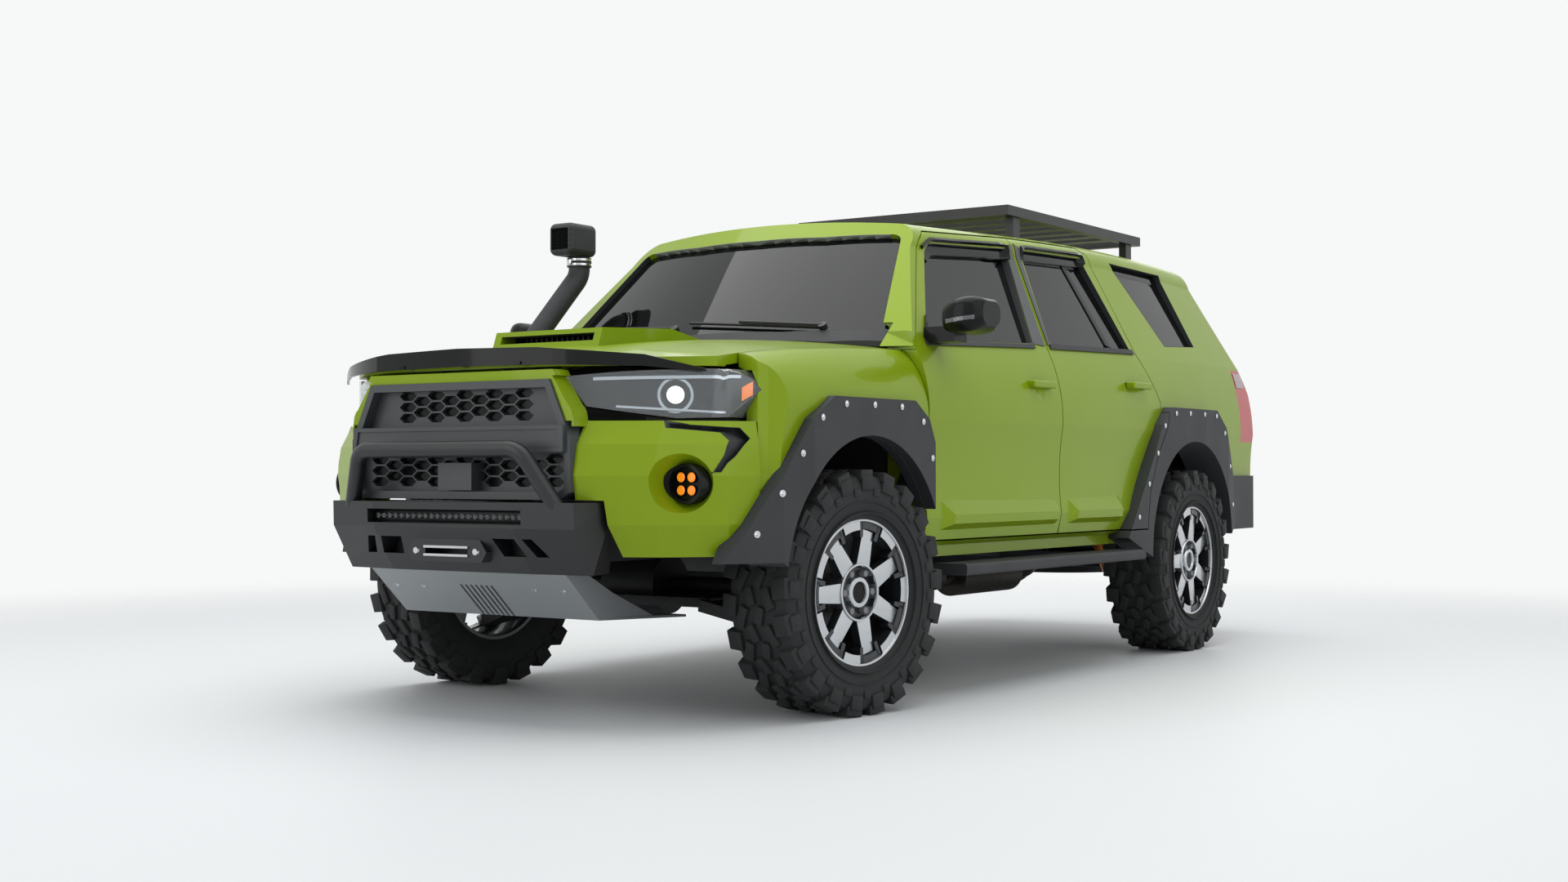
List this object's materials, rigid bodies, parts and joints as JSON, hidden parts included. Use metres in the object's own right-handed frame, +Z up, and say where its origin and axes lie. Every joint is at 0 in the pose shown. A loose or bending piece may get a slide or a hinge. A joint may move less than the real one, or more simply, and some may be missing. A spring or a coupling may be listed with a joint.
{
  "type": "sport utility vehicle",
  "caption": "Lifted off-road sport utility vehicle with opening doors, hood and tailgate, steered wheels, flares, snorkel, winch bumper, side steps and roof rack.",
  "frame": {"origin": "on the ground under the middle of the bounding box", "axes": "+X forward, +Y to the vehicle's left, +Z up"},
  "size_m": [4.964, 2.2, 1.93],
  "materials": {
    "paint": "gloss",
    "black_plastic": "matte",
    "smoked_plastic": "gloss",
    "black_steel": "satin",
    "grille_grey": "satin",
    "skid_grey": "satin",
    "clear_lens": "gloss",
    "red_lens": "gloss",
    "glass": "gloss",
    "trim": "matte",
    "cloth": "matte",
    "floor": "matte",
    "cast_metal": "matte",
    "tank": "matte",
    "pipe": "satin",
    "damper_orange": "gloss",
    "spare": "matte",
    "rubber": "matte",
    "alloy": "machined"
  },
  "bodies": {
    "body": {"roof_panel": "paint", "side_frames": "paint", "tail_panel": "paint", "front_fenders": "paint", "bumper_cover": "paint", "wheel_flares": "black_plastic", "fog_lamps": "black_plastic", "side_steps": "black_plastic", "snorkel": "black_plastic", "rear_bumper": "black_plastic", "winch_bumper": "black_steel", "roof_rack": "black_steel", "ladder_frame": "black_steel", "rear_axle": "black_steel", "front_suspension": "black_steel", "grille": "grille_grey", "skid_plate": "skid_grey", "headlamps": "clear_lens", "tail_lamps": "red_lens", "fixed_glass": "glass", "dashboard": "trim", "front_seats": "cloth", "rear_seat": "cloth", "floor_and_firewall": "floor", "powertrain": "cast_metal", "fuel_tank": "tank", "exhaust": "pipe", "dampers": "damper_orange", "spare_wheel": "spare"},
    "hood_lid": {"hood": "paint", "hood_deflector": "smoked_plastic"},
    "tailgate_lid": {"tailgate": "paint", "tailgate_glass": "glass"},
    "door_front_left": {"front_door_left": "paint", "front_door_glass_left": "glass", "mirror_left": "black_plastic"},
    "door_front_right": {"front_door_right": "paint", "front_door_glass_right": "glass", "mirror_right": "black_plastic"},
    "door_rear_left": {"rear_door_left": "paint", "rear_door_glass_left": "glass", "rear_door_flare_left": "black_plastic"},
    "door_rear_right": {"rear_door_right": "paint", "rear_door_glass_right": "glass", "rear_door_flare_right": "black_plastic"},
    "steer_left": {"knuckle_left": "cast_metal"},
    "steer_right": {"knuckle_right": "cast_metal"},
    "hand_wheel": {"steering_wheel": "trim"},
    "roll_front_left": {"tyre_front_left": "rubber", "wheel_front_left": "alloy"},
    "roll_front_right": {"tyre_front_right": "rubber", "wheel_front_right": "alloy"},
    "roll_rear_left": {"tyre_rear_left": "rubber", "wheel_rear_left": "alloy"},
    "roll_rear_right": {"tyre_rear_right": "rubber", "wheel_rear_right": "alloy"}
  },
  "joints": [
    {"name": "hood_hinge", "type": "hinge", "parent": "body", "child": "hood_lid", "pos_m": [1.016, 0, 1.3], "axis": [0, -1, 0], "range_deg": [0, 50]},
    {"name": "tailgate_hinge", "type": "hinge", "parent": "body", "child": "tailgate_lid", "pos_m": [-1.992, 0, 1.815], "axis": [0, 1, 0], "range_deg": [0, 85]},
    {"name": "front_left_door", "type": "hinge", "parent": "body", "child": "door_front_left", "pos_m": [0.986, 0.932, 0.9], "axis": [0, 0, -1], "range_deg": [0, 65]},
    {"name": "front_right_door", "type": "hinge", "parent": "body", "child": "door_front_right", "pos_m": [0.986, -0.932, 0.9], "axis": [0, 0, 1], "range_deg": [0, 65]},
    {"name": "rear_left_door", "type": "hinge", "parent": "body", "child": "door_rear_left", "pos_m": [-0.066, 0.932, 0.9], "axis": [0, 0, -1], "range_deg": [0, 65]},
    {"name": "rear_right_door", "type": "hinge", "parent": "body", "child": "door_rear_right", "pos_m": [-0.066, -0.932, 0.9], "axis": [0, 0, 1], "range_deg": [0, 65]},
    {"name": "left_kingpin", "type": "hinge", "parent": "body", "child": "steer_left", "pos_m": [1.41, 0.735, 0.405], "axis": [0, 0, 1], "range_deg": [-27, 43]},
    {"name": "right_kingpin", "type": "hinge", "parent": "body", "child": "steer_right", "pos_m": [1.41, -0.735, 0.405], "axis": [0, 0, 1], "range_deg": [-27, 43]},
    {"name": "hand_wheel_turn", "type": "hinge", "parent": "body", "child": "hand_wheel", "pos_m": [0.625, 0.38, 1.092], "axis": [-0.9272, 0, 0.3746], "range_deg": [-405, 645]},
    {"name": "front_left_spin", "type": "hinge", "parent": "steer_left", "child": "roll_front_left", "pos_m": [1.42183, 0.81917, 0.405], "axis": [0.1392, 0.9903, 0], "continuous": true},
    {"name": "front_right_spin", "type": "hinge", "parent": "steer_right", "child": "roll_front_right", "pos_m": [1.39817, -0.81917, 0.405], "axis": [0.1392, 0.9903, 0], "continuous": true},
    {"name": "rear_left_spin", "type": "hinge", "parent": "body", "child": "roll_rear_left", "pos_m": [-1.38, 0.82, 0.405], "axis": [0, 1, 0], "continuous": true},
    {"name": "rear_right_spin", "type": "hinge", "parent": "body", "child": "roll_rear_right", "pos_m": [-1.38, -0.82, 0.405], "axis": [0, 1, 0], "continuous": true}
  ],
  "couplings": [
    {"joint": "right_kingpin", "follows": "left_kingpin", "ratio": 1},
    {"joint": "hand_wheel_turn", "follows": "left_kingpin", "ratio": 15}
  ]
}
